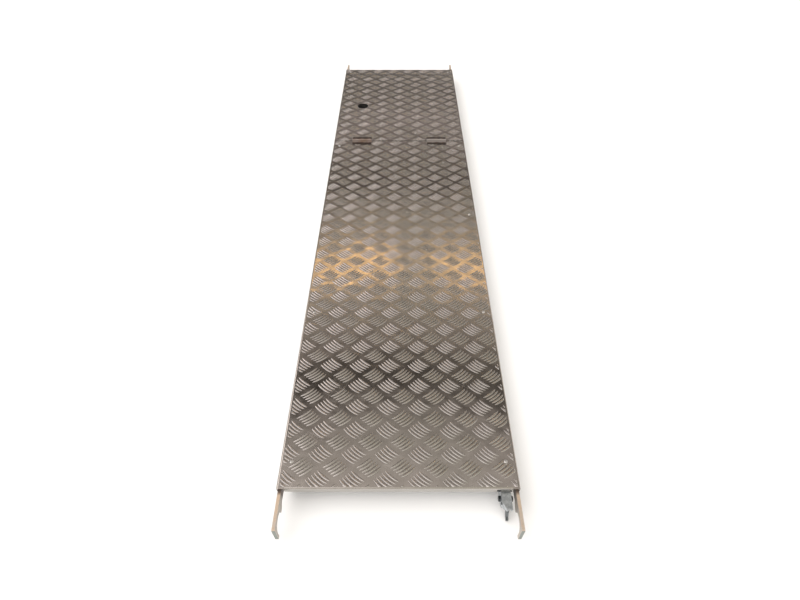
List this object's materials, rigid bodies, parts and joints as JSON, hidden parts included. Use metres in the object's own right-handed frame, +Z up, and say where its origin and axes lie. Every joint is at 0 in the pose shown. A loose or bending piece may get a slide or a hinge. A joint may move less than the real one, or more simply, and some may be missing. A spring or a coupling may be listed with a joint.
{
  "type": "scaffold deck",
  "caption": "Aluminium tread-plate scaffold plank with a hinged hatch, finger hole, tube hooks at the corners and swinging lift-off locks.",
  "frame": {"origin": "under the middle of the deck, at the level of the side rails' feet", "axes": "+X across the deck to the right, +Y along it towards the hatch end, +Z up"},
  "size_m": [0.607, 2.637, 0.0987],
  "materials": {
    "tread_plate": "semi-gloss mill finish with raised five-bar tread",
    "rail_aluminium": "satin extrusion",
    "hook_steel": "tan passivated plate with grey sheared edges",
    "lock_zinc": "galvanised",
    "hinge_steel": "dull zinc",
    "hinge_fixings": "dark, slightly rusted",
    "rivet_aluminium": "bright domed heads",
    "fixing_steel": "zinc plated"
  },
  "bodies": {
    "deck_frame": {"main_deck_sheet": "tread_plate", "end_strip_sheet": "tread_plate", "side_rail_left": "rail_aluminium", "side_rail_right": "rail_aluminium", "near_end_beam": "rail_aluminium", "hatch_landing_beam": "rail_aluminium", "cross_bearer_near": "rail_aluminium", "cross_bearer_middle": "rail_aluminium", "hinge_beam": "rail_aluminium", "hook_near_right": "hook_steel", "hook_near_left": "hook_steel", "hook_far_left": "hook_steel", "hook_far_right": "hook_steel", "hook_rivets": "fixing_steel", "deck_rivets": "rivet_aluminium", "end_strip_rivets": "rivet_aluminium", "hinge_rivets_deck": "hinge_fixings", "hinge_fixed_leaf_left": "hinge_steel", "hinge_pin_left": "hinge_steel", "hinge_fixed_leaf_right": "hinge_steel", "hinge_pin_right": "hinge_steel", "lock_bracket_near": "lock_zinc", "lock_pivot_bolt_near": "fixing_steel", "lock_pivot_nut_near": "fixing_steel", "lock_spacers_near": "fixing_steel", "lock_stop_pin_near": "fixing_steel", "lock_bracket_rivets_near": "fixing_steel", "lock_bracket_far": "lock_zinc", "lock_pivot_bolt_far": "fixing_steel", "lock_pivot_nut_far": "fixing_steel", "lock_spacers_far": "fixing_steel", "lock_stop_pin_far": "fixing_steel", "lock_bracket_rivets_far": "fixing_steel"},
    "hatch": {"hatch_sheet": "tread_plate", "hatch_rib_hinge_end": "rail_aluminium", "hatch_rib_free_end": "rail_aluminium", "hatch_stringer_left": "rail_aluminium", "hatch_stringer_right": "rail_aluminium", "hinge_moving_leaf_left": "hinge_steel", "hinge_moving_leaf_right": "hinge_steel", "hinge_rivets_hatch": "hinge_fixings"},
    "lock_claw_near": {"lock_claw_near": "lock_zinc"},
    "lock_claw_far": {"lock_claw_far": "lock_zinc"}
  },
  "joints": [
    {"name": "hatch_hinge", "type": "hinge", "parent": "deck_frame", "child": "hatch", "pos_m": [0, 0.4345, 0.0945], "axis": [1, 0, 0], "range_deg": [0, 180]},
    {"name": "lock_near_swing", "type": "hinge", "parent": "deck_frame", "child": "lock_claw_near", "pos_m": [0.273, -1.2305, 0.05], "axis": [1, 0, 0], "range_deg": [0, 40]},
    {"name": "lock_far_swing", "type": "hinge", "parent": "deck_frame", "child": "lock_claw_far", "pos_m": [-0.273, 1.2305, 0.05], "axis": [-1, 0, 0], "range_deg": [0, 40]}
  ]
}
